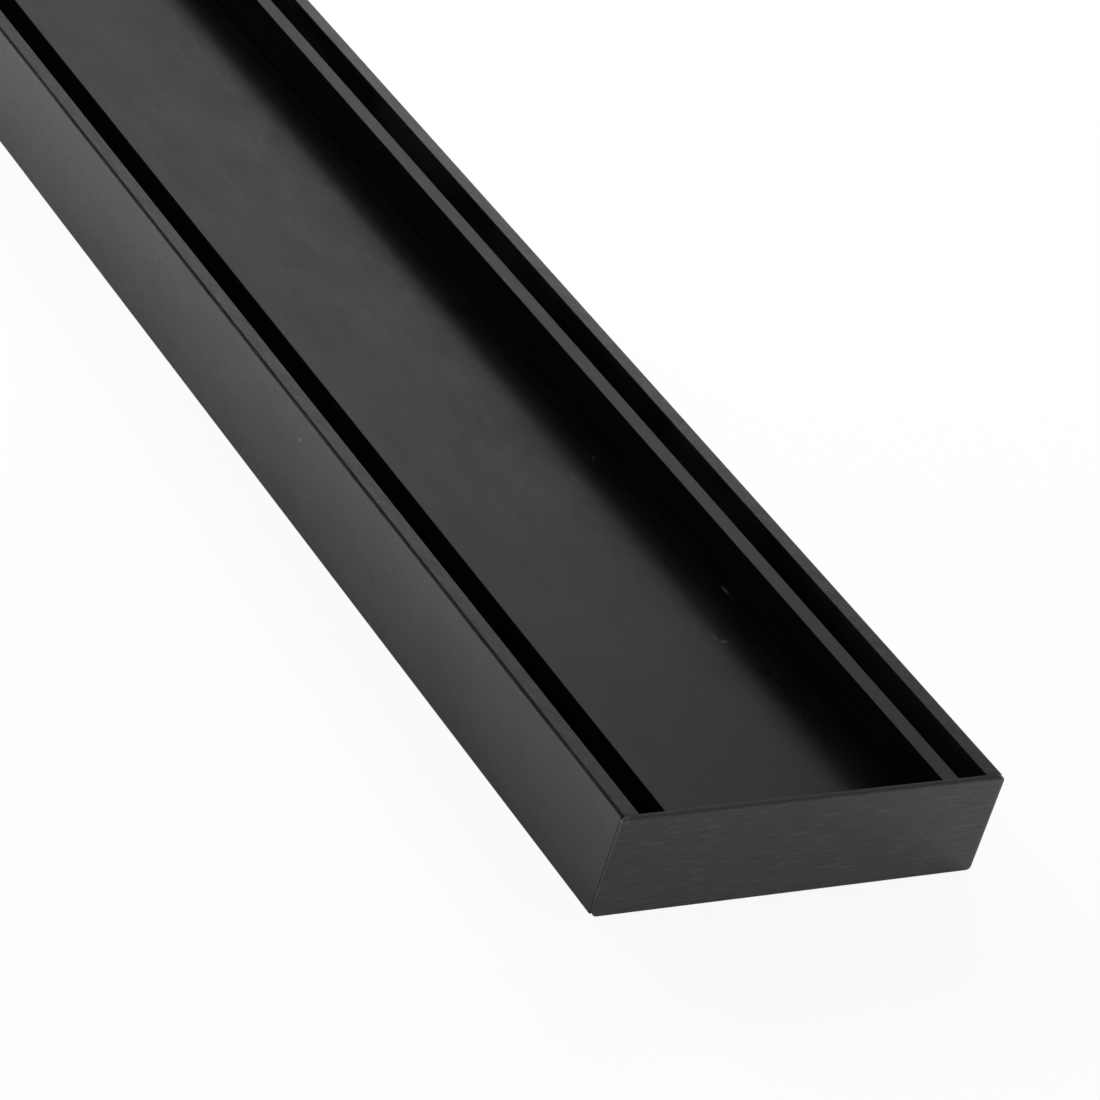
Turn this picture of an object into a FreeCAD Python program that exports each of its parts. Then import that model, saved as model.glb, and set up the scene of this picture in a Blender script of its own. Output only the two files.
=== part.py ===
import FreeCAD, Part
import enum
import os
import Sketcher

# Low linear channel drain: an extruded channel with an end plate on each end, and a loose tray in it
# that holds a strip of floor tile. The water runs down a slot on each side of the tray, along under
# it and out through the hole in the channel's base.
#
# Frame: +X runs along the channel, +Y across it and +Z up. The origin is the middle of the
# channel's underside. All lengths are millimetres.

doc = FreeCAD.newDocument("ChannelDrain")


# ---------------------------------------------------------------- driving dimensions

SIZES = [
    ("overall_length", 900.0, "length over both end plates"),
    ("tile_width", 68.2, "inside width of the tray, where the strip of tile lies"),
    ("tray_wall", 4.5, "thickness of the tray's two walls"),
    ("slot_width", 6.9, "gap on each side that the water goes down"),
    ("channel_wall", 4.5, "thickness of the channel's two walls"),
    ("channel_base", 3.0, "thickness of the channel's base"),
    ("water_space", 8.5, "clear height between the channel's base and the tray"),
    ("tray_floor", 2.4, "thickness of the tray's floor"),
    ("tray_depth", 11.5, "depth of the tray inside"),
    ("tray_drop", 0.6, "how far the tray's walls end below the channel's"),
    ("leg_inset", 18.0, "how far a leg stands in from the tray's side"),
    ("leg_thickness", 2.5, "thickness of a leg"),
    ("leg_clearance", 0.3, "play between a leg and each side of its groove"),
    ("groove_depth", 1.0, "depth of the grooves in the base that the legs stand in"),
    ("outlet_diameter", 75.4, "hole through the base, for a 75 mm outlet pipe"),
    ("leg_setback", 5.0, "how far the legs stop short of the outlet hole, along the tray"),
    ("rim_round", 0.8, "rounding along the channel's two top outer edges"),
    ("edge_break", 0.2, "small rounding on the other edges that are touched"),
    ("inside_round", 0.5, "radius where a wall meets the base or the floor"),
    ("plate_thickness", 1.5, "thickness of an end plate"),
    ("plate_corner", 1.2, "corner radius of an end plate"),
    ("plate_easing", 0.5, "rounding around an end plate's outer face"),
    ("end_clearance", 0.15, "play between the tray and each end plate"),
]

sheet = doc.addObject("Spreadsheet::Sheet", "Sizes")
for row, (alias, value, meaning) in enumerate(SIZES, start=1):
    sheet.set(f"A{row}", meaning)
    sheet.set(f"B{row}", str(value))
    sheet.setAlias(f"B{row}", alias)
doc.recompute()


# ---------------------------------------------------------------- sizes that follow from them

# Across, measured from the middle.
TRAY_INNER = "Sizes.tile_width / 2"
TRAY_OUTER = f"({TRAY_INNER} + Sizes.tray_wall)"
CHANNEL_INNER = f"({TRAY_OUTER} + Sizes.slot_width)"
CHANNEL_OUTER = f"({CHANNEL_INNER} + Sizes.channel_wall)"
LEG_OUTER = f"({TRAY_OUTER} - Sizes.leg_inset)"
LEG_INNER = f"({LEG_OUTER} - Sizes.leg_thickness)"
GROOVE_INNER = f"({LEG_INNER} - Sizes.leg_clearance)"
GROOVE_OUTER = f"({LEG_OUTER} + Sizes.leg_clearance)"

# Up, measured from the underside.
GROOVE_LEVEL = "(Sizes.channel_base - Sizes.groove_depth)"
TRAY_UNDER = "(Sizes.channel_base + Sizes.water_space)"
TRAY_BED = f"({TRAY_UNDER} + Sizes.tray_floor)"
TRAY_TOP = f"({TRAY_BED} + Sizes.tray_depth)"
CHANNEL_TOP = f"({TRAY_TOP} + Sizes.tray_drop)"

# Along, from end to end.
CHANNEL_LENGTH = "(Sizes.overall_length - 2 * Sizes.plate_thickness)"
TRAY_LENGTH = f"({CHANNEL_LENGTH} - 2 * Sizes.end_clearance)"
LEG_GAP = "(Sizes.outlet_diameter + 2 * Sizes.leg_setback)"


def size(expression):
    """The value in millimetres that an expression over the sheet gives now."""
    value = sheet.evalExpression(expression)
    return float(getattr(value, "Value", value))


# ---------------------------------------------------------------- helpers

# Sketcher's own numbers for the points of a line or circle, and for the two axes of every sketch.
# The origin is the horizontal axis's start.
Point = enum.IntEnum("Point", "START END CENTRE")
Axis = enum.IntEnum("Axis", [("HORIZONTAL", -1), ("VERTICAL", -2)])

# Edges this close to a place, in millimetres, are taken to be at it.
TOUCH = 1e-4


def new_body(label):
    body = doc.addObject("PartDesign::Body", label)
    body.Label = label
    return body


def new_sketch(body, name, plane_role):
    """An empty sketch on one of the body's own origin planes."""
    plane = next(f for f in body.Origin.OriginFeatures if f.Role == plane_role)
    sketch = body.newObject("Sketcher::SketchObject", name)
    sketch.AttachmentSupport = [(plane, "")]
    sketch.MapMode = "FlatFace"
    return sketch


def constrain(sketch, kind, *what):
    """A new constraint of the sketch, and its number there."""
    return sketch.addConstraint(Sketcher.Constraint(kind, *what))


def draw_section(sketch, right_half):
    """A closed outline, symmetric about the vertical axis.

    right_half lists its corners from the bottom middle to the top middle. Each of them is held
    by two dimensions from the origin, and each corner on the left mirrors one on the right.
    """
    right = [FreeCAD.Vector(size(across), size(up), 0) for across, up in right_half]
    left = [FreeCAD.Vector(-corner.x, corner.y, 0) for corner in reversed(right)]
    points = right + left
    lines = [
        sketch.addGeometry(Part.LineSegment(corner, next_corner))
        for corner, next_corner in zip(points, points[1:] + points[:1])
    ]
    for line, following in zip(lines, lines[1:] + lines[:1]):
        constrain(sketch, "Coincident", line, Point.END, following, Point.START)
    for line, corner, (across, up) in zip(lines, right, right_half):
        from_origin = (Axis.HORIZONTAL, Point.START, line, Point.START)
        dimension = constrain(sketch, "DistanceX", *from_origin, corner.x)
        sketch.setExpression(f"Constraints[{dimension}]", across)
        dimension = constrain(sketch, "DistanceY", *from_origin, corner.y)
        sketch.setExpression(f"Constraints[{dimension}]", up)
    for line, mirror_line in zip(lines[:len(right)], reversed(lines[len(right):])):
        constrain(sketch, "Symmetric", line, Point.START, mirror_line, Point.START, Axis.VERTICAL)


def extrude(body, name, sketch, length):
    """The outline drawn along X, half of the length to each side of the middle."""
    pad = body.newObject("PartDesign::Pad", name)
    pad.Profile = sketch
    pad.SideType = "Symmetric"
    pad.setExpression("Length", length)
    doc.recompute()
    return pad


def cut_upwards(body, name, sketch, height):
    """A pocket from the part's underside up to the given height, which has to cut something."""
    uncut = body.Shape.Volume
    pocket = body.newObject("PartDesign::Pocket", name)
    pocket.Profile = sketch
    pocket.Reversed = True
    pocket.setExpression("Length", height)
    doc.recompute()
    if body.Shape.Volume >= uncut:
        raise RuntimeError(f"{name} cuts nothing")


def edges_along(shape, places):
    """Names of the edges along X at the given places across and up, and at their mirror images."""
    spots = [(size(across), size(up)) for across, up in places]
    names = []
    for number, edge in enumerate(shape.Edges, start=1):
        box = edge.BoundBox
        runs_along = box.XLength > TOUCH and box.YLength < TOUCH and box.ZLength < TOUCH
        if runs_along and any(
            abs(abs(box.Center.y) - across) < TOUCH and abs(box.Center.z - up) < TOUCH
            for across, up in spots
        ):
            names.append(f"Edge{number}")
    return names


def edges_around(shape, along):
    """Names of the edges that lie wholly in the plane across the part at the place given along X."""
    return [
        f"Edge{number}"
        for number, edge in enumerate(shape.Edges, start=1)
        if edge.BoundBox.XLength < TOUCH and abs(edge.BoundBox.Center.x - along) < TOUCH
    ]


def round_edges(body, name, edges, radius):
    """A fillet on the named edges of the body as it is so far."""
    fillet = body.newObject("PartDesign::Fillet", name)
    fillet.Base = (fillet.BaseFeature, edges)
    fillet.setExpression("Radius", radius)
    doc.recompute()


# ---------------------------------------------------------------- channel

def make_channel():
    """One extruded U with two grooves in its base, and the outlet hole cut through it."""
    body = new_body("channel")
    section = new_sketch(body, "channel_section", "YZ_Plane")
    draw_section(section, [
        (CHANNEL_OUTER, "0"),
        (CHANNEL_OUTER, CHANNEL_TOP),
        (CHANNEL_INNER, CHANNEL_TOP),
        (CHANNEL_INNER, "Sizes.channel_base"),
        (GROOVE_OUTER, "Sizes.channel_base"),
        (GROOVE_OUTER, GROOVE_LEVEL),
        (GROOVE_INNER, GROOVE_LEVEL),
        (GROOVE_INNER, "Sizes.channel_base"),
    ])
    extrude(body, "channel_extrusion", section, CHANNEL_LENGTH)

    rim = edges_along(body.Shape, [(CHANNEL_OUTER, CHANNEL_TOP)])
    round_edges(body, "rim_rounding", rim, "Sizes.rim_round")
    others = edges_along(body.Shape, [(CHANNEL_INNER, CHANNEL_TOP), (CHANNEL_OUTER, "0")])
    round_edges(body, "channel_edge_breaks", others, "Sizes.edge_break")
    inside = edges_along(body.Shape, [(CHANNEL_INNER, "Sizes.channel_base")])
    round_edges(body, "channel_inside_corners", inside, "Sizes.inside_round")

    outline = new_sketch(body, "outlet_outline", "XY_Plane")
    diameter = size("Sizes.outlet_diameter")
    middle, upwards = FreeCAD.Vector(0, 0, 0), FreeCAD.Vector(0, 0, 1)
    circle = outline.addGeometry(Part.Circle(middle, upwards, diameter / 2))
    constrain(outline, "Coincident", circle, Point.CENTRE, Axis.HORIZONTAL, Point.START)
    width = constrain(outline, "Diameter", circle, diameter)
    outline.setExpression(f"Constraints[{width}]", "Sizes.outlet_diameter")
    cut_upwards(body, "outlet_hole", outline, "Sizes.channel_base")
    return body


# ---------------------------------------------------------------- tray

def make_tray():
    """One extruded tray on two legs, which stand in the channel's grooves."""
    body = new_body("tile_tray")
    section = new_sketch(body, "tray_section", "YZ_Plane")
    draw_section(section, [
        (LEG_INNER, TRAY_UNDER),
        (LEG_INNER, GROOVE_LEVEL),
        (LEG_OUTER, GROOVE_LEVEL),
        (LEG_OUTER, TRAY_UNDER),
        (TRAY_OUTER, TRAY_UNDER),
        (TRAY_OUTER, TRAY_TOP),
        (TRAY_INNER, TRAY_TOP),
        (TRAY_INNER, TRAY_BED),
    ])
    extrude(body, "tray_extrusion", section, TRAY_LENGTH)

    touched = [(TRAY_OUTER, TRAY_TOP), (TRAY_INNER, TRAY_TOP), (TRAY_OUTER, TRAY_UNDER)]
    round_edges(body, "tray_edge_breaks", edges_along(body.Shape, touched), "Sizes.edge_break")
    inside = edges_along(body.Shape, [(TRAY_INNER, TRAY_BED)])
    round_edges(body, "tray_inside_corners", inside, "Sizes.inside_round")

    # Over the outlet the legs are cut away, so that the water reaches it from both sides.
    outline = new_sketch(body, "leg_gap_outline", "XY_Plane")
    draw_section(outline, [(f"{LEG_GAP} / 2", f"-{TRAY_OUTER}"), (f"{LEG_GAP} / 2", TRAY_OUTER)])
    cut_upwards(body, "leg_gap", outline, TRAY_UNDER)
    return body


# ---------------------------------------------------------------- end plates

# The easing stays within the corner radius and leaves room for the broken edge at the back.
PLATE_EASING = (
    "min(Sizes.plate_easing; 0.5 * Sizes.plate_corner; 0.9 * (Sizes.plate_thickness - Sizes.edge_break))"
)


def make_end_plate(label, side):
    """A flat plate bonded over one end of the channel. side is 1 at the +X end and -1 at the other."""
    body = new_body(label)
    outline = new_sketch(body, f"{label}_outline", "YZ_Plane")
    draw_section(outline, [(CHANNEL_OUTER, "0"), (CHANNEL_OUTER, CHANNEL_TOP)])
    extrude(body, f"{label}_sheet", outline, "Sizes.plate_thickness")

    corners = edges_along(body.Shape, [(CHANNEL_OUTER, "0"), (CHANNEL_OUTER, CHANNEL_TOP)])
    round_edges(body, f"{label}_corners", corners, "Sizes.plate_corner")
    outer_face = side * size("Sizes.plate_thickness") / 2
    round_edges(body, f"{label}_easing", edges_around(body.Shape, outer_face), PLATE_EASING)
    round_edges(body, f"{label}_back_edge", edges_around(body.Shape, -outer_face), "Sizes.edge_break")
    body.setExpression(
        "Placement.Base.x", f"{side} * (Sizes.overall_length - Sizes.plate_thickness) / 2"
    )
    return body


# ---------------------------------------------------------------- build, check and write

pieces = [
    make_channel(),
    make_tray(),
    make_end_plate("end_plate_left", -1),
    make_end_plate("end_plate_right", 1),
]
doc.recompute()

for item in doc.Objects:
    if "Invalid" in item.State or "Error" in item.State:
        raise RuntimeError(f"{item.Name} failed: {item.State}")

os.makedirs("parts", exist_ok=True)
for piece in pieces:
    shape = piece.Shape
    if shape.isNull() or not shape.isValid() or len(shape.Solids) != 1:
        raise RuntimeError(f"{piece.Label} is not one valid solid")
    shape.exportStep(f"parts/{piece.Label}.step")
    box = shape.optimalBoundingBox(False)
    print(
        f"{piece.Label}: {box.XLength:.2f} x {box.YLength:.2f} x {box.ZLength:.2f} mm,"
        f" z {box.ZMin:.2f} to {box.ZMax:.2f}, {shape.Volume / 1000:.1f} cm3"
    )
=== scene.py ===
# %% [markdown]
# # A tile-insert channel drain in black anodised aluminium
#
# The object is a long, low floor drain. A U-shaped channel is closed by a flat plate at each end.
# A loose tray stands in it and holds a strip of tile, so only two narrow slots are left for the water.
# Its shape is already made as solids, down to the small roundings. This lesson dresses them: a finish
# for each kind of piece, then a floor, a room to be mirrored, two lamps and a camera.

import math

import bpy
from mathutils import Matrix, Vector


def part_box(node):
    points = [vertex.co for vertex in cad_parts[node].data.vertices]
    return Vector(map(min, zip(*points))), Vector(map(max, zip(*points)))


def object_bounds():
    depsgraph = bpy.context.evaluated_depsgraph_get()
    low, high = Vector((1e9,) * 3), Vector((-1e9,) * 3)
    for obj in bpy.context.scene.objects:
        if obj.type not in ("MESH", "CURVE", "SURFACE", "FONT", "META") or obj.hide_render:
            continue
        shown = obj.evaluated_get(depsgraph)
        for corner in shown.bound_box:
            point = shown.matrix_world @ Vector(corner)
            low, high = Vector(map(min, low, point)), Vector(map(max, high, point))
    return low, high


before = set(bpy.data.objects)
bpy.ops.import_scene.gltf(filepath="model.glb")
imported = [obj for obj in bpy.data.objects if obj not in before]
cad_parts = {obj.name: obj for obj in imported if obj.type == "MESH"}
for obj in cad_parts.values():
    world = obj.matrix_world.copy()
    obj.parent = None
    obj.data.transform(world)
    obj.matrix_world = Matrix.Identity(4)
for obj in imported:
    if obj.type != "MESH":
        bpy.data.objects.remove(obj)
cad_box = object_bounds()
print("pieces:", ", ".join(sorted(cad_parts)))
print("whole drain:", [round(side, 4) for side in cad_box[1] - cad_box[0]], "m")

# %% [markdown]
# ## Places to measure from
#
# Finishes and camera need a few places on the drain: its near end, its rim, the tray's bed. They could
# be typed in as numbers, but then they would be wrong as soon as a size changes. They are read from
# the solids' own boxes instead, in metres. Only two sizes inside the tray are in no box, and get a
# name. The drain runs along X, its width is Y, and it stands on Z = 0 with its middle at the origin,
# so half its length and half its width are enough. The near end is the one at +X. The bed is the
# tray's floor, where the tile would lie.

# %% Find the near end and the tray's bed
MM = 0.001
BED_ABOVE_FEET = 11.9 * MM
TRAY_WALL = 4.5 * MM

underside = cad_box[0].z
half_length, half_width, top = cad_box[1]
near_end = Vector((half_length, (cad_box[0].y + half_width) / 2, underside))

tray_low, tray_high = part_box("tile_tray")
bed = tray_low.z + BED_ABOVE_FEET
tray_inside = tray_high.y - TRAY_WALL
print("near end, at floor level:", [round(value, 4) for value in near_end])
print("the tray's bed is", round(bed / MM, 1), "mm up and", round(2 * tray_inside / MM, 1), "mm wide")

# %% [markdown]
# ## Nodes with names
#
# A finish is a small network of shader nodes. It could be wired by hand in the shader editor, but a
# script can be read, repeated and changed in one place. One helper starts an empty finish, and one
# places a node, sets its values and wires what feeds it. In all recipes below, tree is the finish at
# hand, and colour is its colour so far: each line lays the next coat over it.


# %% Start a finish and place its nodes
def start_finish(name):
    """An empty material, and the tree that its nodes go in."""
    finish = bpy.data.materials.new(name)
    finish.use_nodes = True
    finish.node_tree.nodes.clear()
    return finish, finish.node_tree


def put(tree, kind, title, feeds=None, **options):
    """Place one node; feeds holds a value or another node's output for each socket."""
    node = tree.nodes.new(kind)
    node.label = title
    for option, value in options.items():
        setattr(node, option, value)
    for socket, value in (feeds or {}).items():
        if isinstance(value, bpy.types.NodeSocket):
            tree.links.new(value, node.inputs[socket])
        else:
            node.inputs[socket].default_value = value
    return node


def tell(tree, step):
    """Say how far a recipe has come."""
    print(step + ":", len(tree.nodes), "nodes so far")


# %% [markdown]
# ## Words for the recipes
#
# The recipes say the same few things again and again: calculate, mix two numbers, mix two colours,
# turn one range of values into another, and make a mask that is 0 in one place and 1 in another. Each
# is a single node and could be placed in full every time. A word of its own keeps the recipes short.


# %% Words for the recipes
def grey(level):
    """A colour without hue."""
    return (level, level, level, 1.0)


def calculate(tree, title, operation, *values):
    """One step of arithmetic."""
    return put(tree, "ShaderNodeMath", title, dict(enumerate(values)), operation=operation).outputs[0]


def blend(tree, title, share, below, above):
    """A number between two others: below where the share is 0, above where it is 1."""
    return put(tree, "ShaderNodeMix", title, {0: share, 2: below, 3: above}).outputs[0]


def blend_colour(tree, title, share, below, above):
    """The same for two colours."""
    return put(tree, "ShaderNodeMix", title, {0: share, 6: below, 7: above}, data_type="RGBA").outputs[2]


def spread(tree, title, value, low, high, start=0.3, end=0.7, curve="LINEAR"):
    """low until the value reaches start, then over to high, which it reaches at end."""
    feeds = {"Value": value, "From Min": start, "From Max": end, "To Min": low, "To Max": high}
    return put(tree, "ShaderNodeMapRange", title, feeds, interpolation_type=curve).outputs["Result"]


def mask(tree, title, value, start, end):
    """0 until the value reaches start, 1 from end on."""
    return spread(tree, title, value, 0.0, 1.0, start, end)


# %% [markdown]
# ## Where on the piece
#
# A finish that changes from place to place needs to know where it is. A UV map would tell it, but
# every face would have to be laid out for it. The solids were made in one frame and never moved, so a
# piece's own coordinates are metres on the drain and do the job. Taken without their sign, they fold
# the drain at its middle: what is said once then holds for both ends and both sides.


# %% Places on a piece
def place_on_piece(tree):
    """Metres along, across and up, from the middle of the drain."""
    return put(tree, "ShaderNodeTexCoord", "place on the piece").outputs["Object"]


def folded_place(tree):
    """The same place with both ends and both sides folded onto one."""
    place = {0: place_on_piece(tree)}
    folded = put(tree, "ShaderNodeVectorMath", "folded at the middle", place, operation="ABSOLUTE")
    return folded.outputs["Vector"]


def apart(tree, vector):
    """The three parts of a vector, as outputs X, Y and Z."""
    return put(tree, "ShaderNodeSeparateXYZ", "along, across and up", {0: vector}).outputs


# %% [markdown]
# ## Grain
#
# Extruded aluminium is drawn through a die and then brushed, so its fine lines all run one way.
# The lines could be an image, but a noise that is stretched along the piece gives them at any size
# and on every face without unwrapping. The stretch is in waves per metre: few along the lines, many
# across them. A finish has fine lines and coarser streaks, and both together are the height that
# tilts its sheen.


# %% Stretched noise
def lines(tree, title, per_metre, detail=2.0):
    """Noise between 0 and 1; per_metre is how fast it changes along, across and up."""
    stretched = put(tree, "ShaderNodeVectorMath", title + ", stretched",
                    {0: place_on_piece(tree), 1: per_metre}, operation="MULTIPLY")
    feeds = {"Vector": stretched.outputs["Vector"], "Scale": 1.0, "Detail": detail, "Roughness": 0.6}
    return put(tree, "ShaderNodeTexNoise", title, feeds).outputs["Fac"]


def grain(tree, fine_per_metre, coarse_per_metre, coarse_share):
    """Fine lines, coarse streaks, and the height of both together."""
    fine = lines(tree, "fine lines", fine_per_metre, detail=3.0)
    coarse = lines(tree, "coarse streaks", coarse_per_metre)
    height = calculate(tree, "both heights", "MULTIPLY_ADD", coarse, coarse_share, fine)
    return fine, coarse, height


# %% [markdown]
# ## Small marks
#
# A real drain has been handled: a speck here, a scratch there. They could be cut into the shape, but
# they are far too shallow to matter there. So each is a soft spot in the colour, around a centre, and
# its reach along X, Y and Z makes it round or long. Centres and reaches are in metres.


# %% One mark
def mark(tree, title, centre, reach, place=None):
    """1 in the middle of a mark, fading to 0 at its reach."""
    from_middle = put(tree, "ShaderNodeVectorMath", title + ", from its middle",
                      {0: place or place_on_piece(tree), 1: centre}, operation="SUBTRACT")
    in_its_size = put(tree, "ShaderNodeVectorMath", title + ", in its own size",
                      {0: from_middle.outputs["Vector"], 1: [1 / value for value in reach]},
                      operation="MULTIPLY")
    how_far = put(tree, "ShaderNodeVectorMath", title + ", how far",
                  {0: in_its_size.outputs["Vector"]}, operation="LENGTH")
    return spread(tree, title, how_far.outputs["Value"], 1.0, 0.0, start=0.25, end=1.0)


# %% [markdown]
# ## Black anodising
#
# Anodising grows a clear oxide on the aluminium and dyes it black. Light is lost in the dye, so what
# is seen is mostly the sheen of the oxide's surface: weak straight on, strong at a low angle. A
# metallic shader would be the first thought for aluminium, but it mirrors in its own colour, and a
# black one mirrors next to nothing. A plain dielectric behaves as the oxide does. Under it the base
# is nearly black, and the grain, less than a tenth of a millimetre deep, tilts the sheen.


# %% Recipe for the anodised finish
OXIDE_IOR = 1.6


def anodise(tree, colour, roughness, height, depth, normal=None, dull=0.0):
    """The oxide's sheen over a dyed base; depth is in metres, and dull takes the sheen away."""
    bumps = {"Height": height, "Strength": 1.0, "Distance": depth}
    if normal is not None:
        bumps["Normal"] = normal
    bump = put(tree, "ShaderNodeBump", "height of the lines", bumps)
    shader = put(tree, "ShaderNodeBsdfPrincipled", "anodised aluminium", {
        "Base Color": colour,
        "Metallic": dull,
        "Roughness": roughness,
        "IOR": OXIDE_IOR,
        "Normal": bump.outputs["Normal"],
    })
    put(tree, "ShaderNodeOutputMaterial", "out", {"Surface": shader.outputs["BSDF"]})


def dress(node_name, finish):
    """Put a finish into a carried-over piece's material slots."""
    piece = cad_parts[node_name]
    for slot in piece.material_slots:
        slot.material = finish
    print(node_name, "wears", finish.name, "of", len(finish.node_tree.nodes), "nodes")


# %% [markdown]
# ## The channel's surface
#
# The channel is an extrusion, so its lines run along X. Its walls also have a slow wave, a hair's
# breadth high, that shows as soft clouds where the floor is mirrored in them. Moving the mesh would
# make the wave too, but the solids stay as they are, and a bump shows the same. The wave is far
# longer than the lines, so it has to be much higher than they are to tilt the sheen as much.

# %% Channel: lines and wave
CHANNEL_DEPTH = 0.012 * MM
WAVE_HEIGHT = 11.0

channel_finish, tree = start_finish("anodised_channel")
fine, coarse, height = grain(tree, fine_per_metre=(140.0, 3200.0, 3200.0),
                             coarse_per_metre=(40.0, 1100.0, 1100.0), coarse_share=0.6)
clouds = lines(tree, "clouds", (110.0, 160.0, 160.0), detail=3.0)
height = calculate(tree, "lines on a slow wave", "MULTIPLY_ADD", clouds, WAVE_HEIGHT, height)
tell(tree, "channel, lines and wave")

# %% [markdown]
# ## The channel's colour
#
# The dye doesn't take evenly. Streaks of the grain are a little paler, and so are wide clouds along
# the walls. One even black would do from afar, and looks like plastic from near. The dye's greys all
# stay under one part in a hundred, which is enough to see on black. A small pale speck sits on the
# outer wall.

# %% Channel: dye and speck
SPECK_PLACE = (0.2963, -half_width, 0.0196)
SPECK_REACH = (0.0007, 0.001, 0.0006)

streak = mask(tree, "streak", coarse, start=0.35, end=0.7)
colour = blend_colour(tree, "black, paler in a streak", streak, grey(0.0015), grey(0.005))
slow = lines(tree, "uneven dye", (22.0, 60.0, 60.0), detail=1.5)
less_dye = mask(tree, "where it took less dye", slow, start=0.42, end=0.62)
colour = blend_colour(tree, "with its uneven dye", less_dye, colour, grey(0.0095))
speck = mark(tree, "speck on the wall", SPECK_PLACE, SPECK_REACH)
colour = blend_colour(tree, "with its speck", speck, colour, grey(0.12))
tell(tree, "channel, dye and speck")

# %% [markdown]
# ## The channel's rim
#
# The rounded outer edges of the rim are what hands and boxes touch, so the dye is rubbed thin there in
# places. The rounding could be chosen face by face, but it is simpler to add how far out and how far
# up a point is, because only the rounding has nearly the full sum. The flat on top is painted paler:
# a painted highlight for the light that it catches.

# %% Channel: rim
folded = apart(tree, folded_place(tree))
out_and_up = calculate(tree, "out and up", "ADD", folded["Y"], folded["Z"])
full_sum = half_width + top
rim = mask(tree, "rounded rim", out_and_up, start=full_sum - 0.9 * MM, end=full_sum - 0.6 * MM)
hands = lines(tree, "where hands rubbed", (45.0, 45.0, 45.0), detail=3.0)
in_places = spread(tree, "rubbed in places", hands, low=0.45, high=1.0)
rubbed = calculate(tree, "rubbed rim", "MULTIPLY", rim, in_places)
colour = blend_colour(tree, "with its rubbed rim", rubbed, colour, grey(0.033))
flat = mask(tree, "flat of the rim", folded["Z"], start=top - 0.2 * MM, end=top - 0.1 * MM)
# Painted highlight: the flat on top of the rim is painted paler for the light that it catches.
colour = blend_colour(tree, "with painted light on the flat of its rim", flat, colour, grey(0.009))
tell(tree, "channel, rim")

# %% [markdown]
# ## The channel's gloss
#
# The oxide is satin, and not everywhere the same: the clouds of the wave and the fine lines both
# change how sharply it mirrors. One roughness for all of it would be less work, and would look like
# lacquer. The flat of the rim shines a little more than the rest.

# %% Channel: gloss
FLAT_ROUGHNESS_CHANGE = -0.04

satin = spread(tree, "satin in clouds", clouds, low=0.25, high=0.32)
dull_lines = spread(tree, "dull lines", fine, low=-0.04, high=0.04)
roughness = calculate(tree, "satin in clouds and lines", "ADD", satin, dull_lines)
roughness = calculate(tree, "shinier on the flat", "MULTIPLY_ADD", flat, FLAT_ROUGHNESS_CHANGE, roughness)
anodise(tree, colour, roughness, height, CHANNEL_DEPTH)
dress("channel", channel_finish)

# %% [markdown]
# ## The tray
#
# The tray is the same metal from another die, and could share the channel's finish. It has its own,
# because its bed is flatter than the channel's walls, which makes its wave weaker and its clouds
# wider, and because its dye is deeper.

# %% Tray: lines, wave and dye
TRAY_DEPTH = 0.012 * MM
TRAY_WAVE_HEIGHT = 2.0

tray_finish, tree = start_finish("anodised_tray")
fine, coarse, height = grain(tree, fine_per_metre=(160.0, 2600.0, 2600.0),
                             coarse_per_metre=(50.0, 900.0, 900.0), coarse_share=0.6)
clouds = lines(tree, "clouds", (40.0, 90.0, 90.0))
height = calculate(tree, "lines on a slow wave", "MULTIPLY_ADD", clouds, TRAY_WAVE_HEIGHT, height)
streak = mask(tree, "streak", coarse, start=0.35, end=0.7)
colour = blend_colour(tree, "black, paler in a streak", streak, grey(0.001), grey(0.003))
tell(tree, "tray, lines, wave and dye")

# %% [markdown]
# ## Marks in the tray
#
# The bed has a grain of dust, a scratch beside the wall that fades along it, and a nick in the shape
# of a hook. The scratch and the nick could be drawn as curves, but two short marks for each, end to
# end, look the same at this size. Each row gives a centre, a reach and how pale the mark is.

# %% Tray: marks
marks = (
    ("grain of dust", (0.3023, 0.0292, bed), (0.0007, 0.0006, 0.001), 0.035),
    ("scratch by the wall", (0.3590, 0.0338, bed), (0.0022, 0.0005, 0.0006), 0.10),
    ("end of the scratch", (0.3620, 0.0342, bed), (0.0030, 0.0004, 0.0006), 0.03),
    ("nick", (0.3763, 0.0206, bed), (0.0024, 0.0005, 0.001), 0.02),
    ("nick across", (0.3781, 0.0222, bed), (0.0006, 0.0014, 0.001), 0.04),
)
for title, centre, reach, level in marks:
    spot = mark(tree, title, centre, reach)
    colour = blend_colour(tree, "with its " + title, spot, colour, grey(level))
tell(tree, "tray, marks")

# %% [markdown]
# ## The tray's inside corners
#
# The rounding between the bed and a wall is a narrow hollow, and shade falls there. It is made rougher
# as well. Left shiny, that hollow would mirror half the room and draw a pale line along the tray.
# More roughness alone only widens the line. So the metallic input paints the hollow's shade: a metal
# as black as the base mirrors next to nothing. The mark is drawn out over the whole length.

# %% Tray: corners and gloss
CORNER_PLACE = (0.2, tray_inside, bed)
CORNER_REACH = (1.0, 0.0011, 0.0011)
CORNER_ROUGHNESS = 0.8
CORNER_PAINTED_SHADE = 0.85

corner = mark(tree, "inside corner", CORNER_PLACE, CORNER_REACH, folded_place(tree))
satin = spread(tree, "satin in clouds", clouds, low=0.285, high=0.335)
dull_lines = spread(tree, "dull lines", fine, low=-0.04, high=0.04)
roughness = calculate(tree, "satin in clouds and lines", "ADD", satin, dull_lines)
roughness = blend(tree, "the brush misses the corner", corner, roughness, CORNER_ROUGHNESS)
# Painted shade: the metallic mask takes the sheen out of the inside corners, so they render dark.
dull = calculate(tree, "hardly any sheen in the corner", "MULTIPLY", corner, CORNER_PAINTED_SHADE)
anodise(tree, colour, roughness, height, TRAY_DEPTH, dull=dull)
dress("tile_tray", tray_finish)

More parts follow.
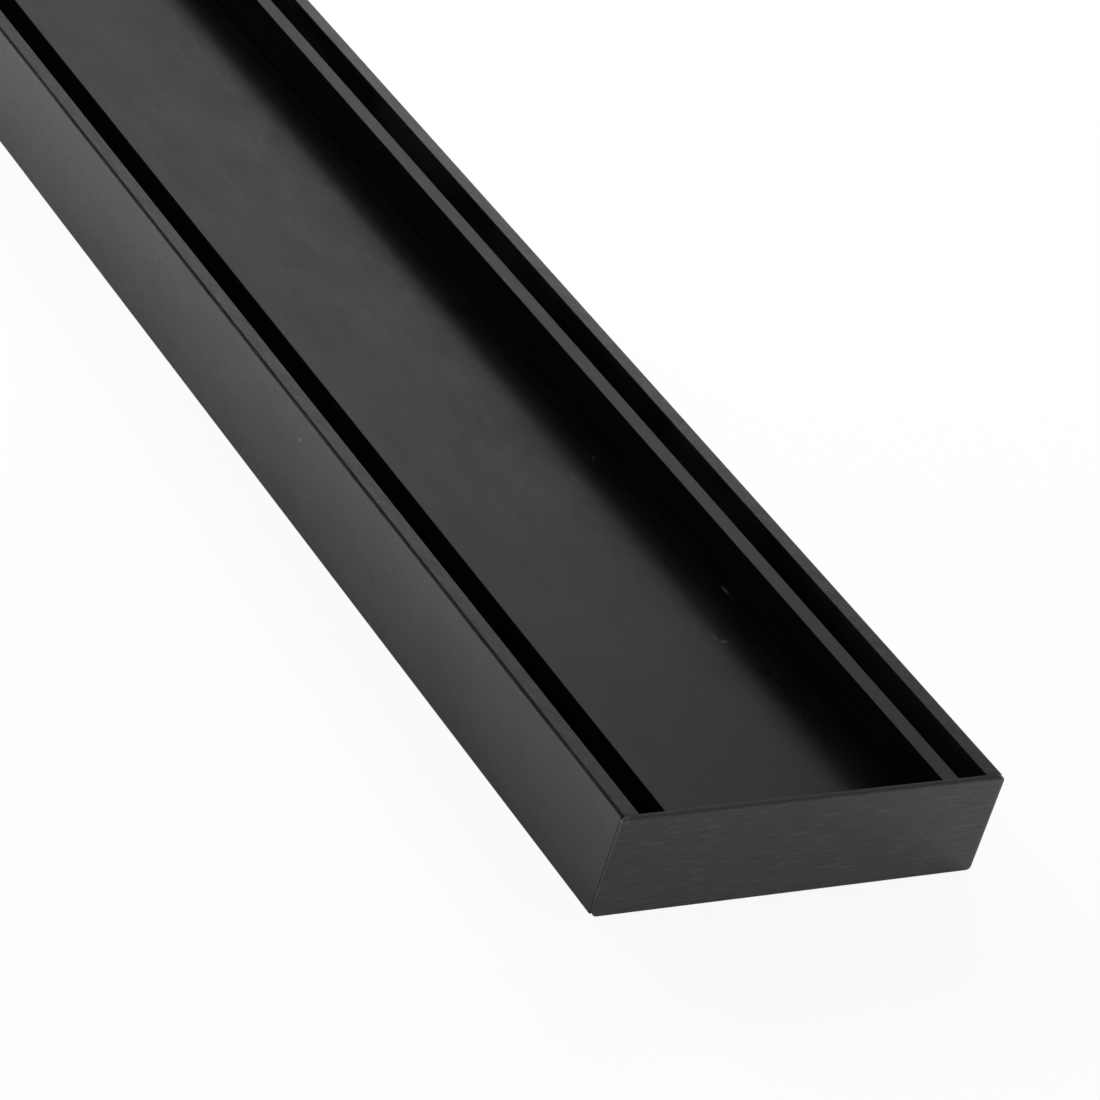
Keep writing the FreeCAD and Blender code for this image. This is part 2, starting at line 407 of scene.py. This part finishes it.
# %% [markdown]
# ## The end plates
#
# The plates were cut from sheet and brushed from side to side on a coarser belt, but only on their
# broad faces. They could have a finish for each kind of face. One finish for all is simpler: the way
# a face points tells the broad ones, which look along the drain, from the cut edges, where the height
# of the brushing fades out.

# %% End plate: brushing
PLATE_DEPTH = 0.06 * MM

plate_finish, tree = start_finish("brushed_end_plate")
surface = put(tree, "ShaderNodeNewGeometry", "surface").outputs
facing = apart(tree, surface["True Normal"])
along = calculate(tree, "looks along the drain", "ABSOLUTE", facing["X"])
broad = mask(tree, "broad face", along, start=0.5, end=0.95)
fine, coarse, height = grain(tree, fine_per_metre=(3000.0, 500.0, 3000.0),
                             coarse_per_metre=(1200.0, 130.0, 1150.0), coarse_share=2.8)
height = calculate(tree, "only on the broad face", "MULTIPLY", height, broad)
tell(tree, "end plate, brushing")

# %% [markdown]
# ## The end plates' colour
#
# A coarse belt cuts deeper lines, and the dye fills them unevenly. So the plate has more pale streaks
# than the extrusions. A few lines are also painted bright, a painted glint for the light they catch.
# Both could be noises of their own, but they come from the coarse lines that the height has too, so
# that light and colour agree on where a line is.

# %% End plate: dye and painted glints
streak = mask(tree, "streak", coarse, start=0.35, end=0.65)
colour = blend_colour(tree, "black, paler in a streak", streak, grey(0.001), grey(0.016))
# Painted glints: the brightest of the coarse lines are painted bright in the colour.
scratch = mask(tree, "painted glint on a belt line", coarse, start=0.60, end=0.74)
colour = blend_colour(tree, "with painted glints", scratch, colour, grey(0.05))
colour = blend_colour(tree, "cut edges are plain black", broad, grey(0.001), colour)
tell(tree, "end plate, dye and scratches")

# %% [markdown]
# ## Rubbed sides and painted highlights
#
# The plates stick out at the ends of the drain. Their upright sides are rubbed in places, and those
# pale patches also stand for the line of light that the side catches: wear and painted highlight in
# one. Their top corners are painted pale, a painted highlight on their rounding. The shape stays as
# it is, so the colour alone carries both.

# %% End plate: rubbing and painted highlights
folded_spot = folded_place(tree)
folded = apart(tree, folded_spot)
side = mask(tree, "sides of the plate", folded["Y"], start=half_width - 0.5 * MM, end=half_width - 0.1 * MM)
rub_and_highlight = lines(tree, "where the side was rubbed", (150.0, 150.0, 110.0))
in_places = mask(tree, "rubbed in places", rub_and_highlight, start=0.45, end=0.6)
# Wear and painted highlight: the rubbed patches on the upright sides are pale, and also stand for the light
# line the side catches.
rubbed = calculate(tree, "rubbed side", "MULTIPLY", side, in_places)
colour = blend_colour(tree, "with its rubbed side", rubbed, colour, grey(0.03))

corner_highlight_place = (half_length - 0.8 * MM, half_width - 0.7 * MM, top - 0.7 * MM)
corner_highlight_reach = (1.4 * MM, 1.2 * MM, 1.2 * MM)
# Painted highlight: the top corners of the plates are painted pale where their rounding catches the light.
corner_highlight = mark(tree, "painted corner highlight", corner_highlight_place, corner_highlight_reach, folded_spot)
colour = blend_colour(tree, "with its painted corner highlights", corner_highlight, colour, grey(0.09))
tell(tree, "end plate, wear")

# %% [markdown]
# ## Eased edges
#
# The plates' upright edges were eased with a file, wider than their rounding, and catch a soft line
# of light. A bevel modifier would do it by changing the mesh, and the solids stay as they are. A
# bevel node bends only the normals there. It is kept away from the top edge, which is crisp.

# %% End plate: eased edges
FILED_WIDTH = 1.6 * MM

upright = mask(tree, "near the side", folded["Y"], start=half_width - 2.2 * MM, end=half_width - 1.5 * MM)
below_top = spread(tree, "below the top edge", folded["Z"], 1.0, 0.0, start=top - 1.8 * MM, end=top - MM)
filed = calculate(tree, "upright edges", "MULTIPLY", upright, below_top)
eased = put(tree, "ShaderNodeBevel", "eased with a file", {"Radius": FILED_WIDTH}, samples=6)
normals = {0: filed, 4: surface["Normal"], 5: eased.outputs["Normal"]}
normal = put(tree, "ShaderNodeMix", "eased on the upright edges", normals, data_type="VECTOR").outputs[1]
tell(tree, "end plate, eased edges")

# %% [markdown]
# ## The end plates' gloss
#
# The broad face is satin like the extrusions, but its coarse lines change the gloss more than their
# fine ones do. The cut edges were not brushed, so they have one even gloss. It could be left out, as
# the edges are narrow, but they are what the light runs along.

# %% End plate: gloss
CUT_EDGE_ROUGHNESS = 0.25

clouds = lines(tree, "clouds", (60.0, 60.0, 120.0))
satin = spread(tree, "satin in clouds", clouds, low=0.27, high=0.34)
dull_lines = spread(tree, "dull lines", coarse, low=-0.06, high=0.06)
satin = calculate(tree, "satin in clouds and lines", "ADD", satin, dull_lines)
roughness = blend(tree, "cut edges are smoother", broad, CUT_EDGE_ROUGHNESS, satin)
anodise(tree, colour, roughness, height, PLATE_DEPTH, normal)
for node_name in ("end_plate_left", "end_plate_right"):
    dress(node_name, plate_finish)

# %% [markdown]
# ## The floor
#
# The drain lies on a plain pale sheet. A plane of a metre would do for one view, but this one is so
# large that no view finds its edge near the drain. It is a fifth of a millimetre under the drain, so
# that two surfaces never fight for the same place. It belongs to the stage and not to the object.


# %% Floor sheet
FLOOR_SIDE = 12.0
FLOOR_GAP = 0.2 * MM


def make_floor(side):
    """A square sheet under the drain."""
    half = side / 2
    sheet = bpy.data.meshes.new("studio_floor")
    corners = [(-half, -half, 0), (half, -half, 0), (half, half, 0), (-half, half, 0)]
    sheet.from_pydata(corners, [], [(0, 1, 2, 3)])
    floor = bpy.data.objects.new("studio_floor", sheet)
    floor.location.z = underside - FLOOR_GAP
    bpy.context.scene.collection.objects.link(floor)
    return floor


floor = make_floor(FLOOR_SIDE)
print("floor:", len(floor.data.polygons), "face,", FLOOR_SIDE, "m wide")

# %% [markdown]
# ## How much white the metal mirrors
#
# The background is to be white, but a floor bright enough for that would light the black drain grey.
# So the floor is part pale paint and part white that is only seen, and the share of white depends on
# who looks. The metal mirrors a smaller share than the eye sees. That share drops towards the walls,
# as a floor darkens beside what stands on it, and gives the walls their dark foot. Under the drain
# there is no white at all, or it would shine up through the outlet and the slots.

# %% Floor: share of white around the drain
SHADE_WIDTH = 30 * MM
SHARE_PAST_END = 0.34

floor_finish, tree = start_finish("pale_floor")
folded = apart(tree, folded_place(tree))
beside = spread(tree, "shade beside the wall", folded["Y"], low=0.02, high=0.43,
                start=half_width, end=half_width + SHADE_WIDTH)
past_end = mask(tree, "past the end", folded["X"], start=half_length - MM, end=half_length + MM)
mirrored = blend(tree, "share that the metal mirrors", past_end, beside, SHARE_PAST_END)
tell(tree, "floor, share of white")

# %% Floor: nothing white under the drain
beyond_ends = mask(tree, "beyond the ends", folded["X"], start=half_length - 4 * MM, end=half_length - 2 * MM)
beyond_sides = mask(tree, "beyond the sides", folded["Y"], start=half_width - 4 * MM, end=half_width - 2 * MM)
open_floor = calculate(tree, "not under the drain", "MAXIMUM", beyond_ends, beyond_sides)
tell(tree, "floor, nothing white under the drain")

# %% [markdown]
# ## Paint and white
#
# The light path tells the floor what kind of ray has met it: one from the eye, one from the sheen,
# one through glass, or one that only carries light. Each kind gets its share of white. What is left
# over is paint, and it keeps the drain's soft shadow. A floor of pure white for the eye would be
# simpler, but the drain would float on it.

# %% Floor: paint and white
EYE_SHARE = 0.92

rays = put(tree, "ShaderNodeLightPath", "kind of ray").outputs
share = calculate(tree, "white to the eye", "MULTIPLY", rays["Is Camera Ray"], EYE_SHARE)
for title, kind in (("white in the metal", "Is Glossy Ray"), ("white through glass", "Is Transmission Ray")):
    share = calculate(tree, title, "MULTIPLY_ADD", rays[kind], mirrored, share)
share = calculate(tree, "none under the drain", "MULTIPLY", share, open_floor)
paint = put(tree, "ShaderNodeBsdfDiffuse", "pale paint", {"Color": grey(0.85)}).outputs[0]
white = put(tree, "ShaderNodeEmission", "white", {"Color": grey(1.0), "Strength": 1.0}).outputs[0]
both = put(tree, "ShaderNodeMixShader", "floor", {0: share, 1: paint, 2: white}).outputs[0]
put(tree, "ShaderNodeOutputMaterial", "out", {"Surface": both})
floor.data.materials.append(floor_finish)
print("the floor wears", floor_finish.name)

# %% [markdown]
# ## The room
#
# Black anodising has hardly a colour of its own, so its look is the room that it mirrors. That room
# could be a panorama image. Here it is a world whose level depends on the direction, because a few
# soft patches are enough. The walls are pale and turn greyer with height, and the far wall is
# brighter. A lit screen hangs there, whose glow lies on the drain's far half. A soft window and a
# bright ceiling give the faces that look up something to mirror from other sides. One side is open
# and dark: it makes the black band along the tray's wall and the thin dark line along the rim.


# %% Patches of the room
SMOOTH = "SMOOTHSTEP"


def towards(tree, title, look, direction, low, high, start, end):
    """low away from a direction, high in it; start and end are cosines of the angle to it."""
    feeds = {0: look, 1: Vector(direction).normalized()}
    cosine = put(tree, "ShaderNodeVectorMath", title + ", how near", feeds, operation="DOT_PRODUCT")
    return spread(tree, title, cosine.outputs["Value"], low, high, start, end, SMOOTH)


# %% Room: walls and their lights
world = bpy.data.worlds.new("studio")
world.use_nodes = True
bpy.context.scene.world = world
tree = world.node_tree
tree.nodes.clear()
look = put(tree, "ShaderNodeTexCoord", "direction in the room").outputs["Generated"]
part = apart(tree, look)

room = spread(tree, "walls, greyer above", part["Z"], low=0.48, high=0.175, start=0.1, end=0.6, curve=SMOOTH)
far_wall = spread(tree, "far wall", part["X"], low=0.0, high=0.29, start=-0.5, end=-0.95, curve=SMOOTH)
screen = towards(tree, "lit screen", look, (-0.726, 0.534, 0.434), low=0.0, high=0.56, start=0.99, end=0.9985)
window = towards(tree, "soft window", look, (0.35, 0.6, 0.72), low=0.0, high=0.4, start=0.75, end=0.95)
for title, glow in (("far wall", far_wall), ("screen", screen), ("window", window)):
    room = calculate(tree, "with its " + title, "ADD", room, glow)
tell(tree, "room, walls and their lights")

# %% Room: open side and ceiling
open_side = towards(tree, "open side", look, (-0.66, -0.54, 0.51), low=1.0, high=0.07, start=0.5, end=0.84)
room = calculate(tree, "dark on the open side", "MULTIPLY", room, open_side)
ceiling = spread(tree, "bright ceiling", part["Z"], low=0.0, high=0.7, start=0.86, end=0.97, curve=SMOOTH)
room = calculate(tree, "with its ceiling", "ADD", room, ceiling)
tell(tree, "room, open side and ceiling")

# %% [markdown]
# ## White around the room
#
# To the eye and through glass the room is an even white that joins the floor. The sheen sees the room
# itself. An even white in it would be simpler, but it would turn every black face grey, and the dark
# band in the tray would be gone. The same room also lights the scene softly from all sides.

# %% Room: light
rays = put(tree, "ShaderNodeLightPath", "kind of ray").outputs
seen_rays = (rays["Is Camera Ray"], rays["Is Transmission Ray"])
seen = calculate(tree, "seen or seen through", "MAXIMUM", *seen_rays)
level = blend(tree, "white where it is seen", seen, room, 1.0)
light = put(tree, "ShaderNodeBackground", "light of the room", {"Color": grey(1.0), "Strength": level})
put(tree, "ShaderNodeOutputWorld", "out", {"Surface": light.outputs[0]})
tell(tree, "room, light")

# %% [markdown]
# ## Two soft lamps
#
# The key lamp stands across from the eye, beyond the drain and high up, so the soft shadow falls
# towards the eye. A second one lights the long wall from the far end. A sun or a spot would draw hard
# shadows, so both are large squares. They are hidden from the sheen, because a square lamp would draw
# a hard bright line along every rounded edge, and the room gives those edges their light already.


# %% Lamps
def softbox(name, place, aim, side, watts):
    """A square lamp that looks from its place at a point."""
    way = Vector(aim) - Vector(place)
    lamp = bpy.data.lights.new(name, "AREA")
    lamp.shape = "SQUARE"
    lamp.size = side
    lamp.energy = watts
    box = bpy.data.objects.new(name, lamp)
    box.location = place
    box.rotation_mode = "QUATERNION"
    box.rotation_quaternion = way.to_track_quat("-Z", "Y")
    box.visible_glossy = False
    bpy.context.scene.collection.objects.link(box)
    print(name, "gives", watts, "W from", round(way.length, 2), "m away")


softbox("key", place=(-1.0, 0.95, 1.05), aim=(0.2, 0.0, 0.0), side=0.7, watts=26.0)
softbox("far_lamp", place=(-1.0, -0.45, 0.6), aim=(-0.3, -0.1, 0.0), side=0.6, watts=20.0)

# %% [markdown]
# ## The camera
#
# The camera stands past the near end, to one side and about half a metre up, and looks back along the
# drain. A long lens from there keeps the drain's edges nearly parallel, where a wide one from near by
# would swell the end. The far part leaves the view, so the slots, the tray and the end are seen large.
# The camera is tilted on its own axis, which turns the drain's length into a steep diagonal. Its place
# is counted from the near end, so it would follow a longer drain.

# %% Camera
FROM_NEAR_END = Vector((0.58401, -0.54384, 0.53143))
TILT = math.radians(17.31)
LENS_MM = 144.43
SENSOR_MM = 36.0

forward = Vector((-0.68079, 0.52924, -0.50639)).normalized()
level_right = forward.cross(Vector((0, 0, 1))).normalized()
level_up = level_right.cross(forward)
right = level_right * math.cos(TILT) + level_up * math.sin(TILT)
up = level_up * math.cos(TILT) - level_right * math.sin(TILT)

lens = bpy.data.cameras.new("camera")
lens.sensor_width = SENSOR_MM
lens.lens = LENS_MM
lens.clip_start = 0.01
lens.clip_end = 50.0
camera = bpy.data.objects.new("camera", lens)
camera.location = near_end + FROM_NEAR_END
camera.rotation_mode = "QUATERNION"
camera.rotation_quaternion = Matrix((right, up, -forward)).transposed().to_quaternion()
bpy.context.scene.collection.objects.link(camera)
bpy.context.scene.camera = camera
print("camera:", round(FROM_NEAR_END.length, 3), "m from the near end,", LENS_MM, "mm lens")

# %% [markdown]
# ## Levels
#
# The Standard view shows each colour as it is written. A film-like view would be kinder to bright
# lamps, but would shift the blacks, which matter most here. The drain was only dressed, so its box
# has to be the solids' box still.

# %% Levels
bpy.context.scene.view_settings.view_transform = "Standard"
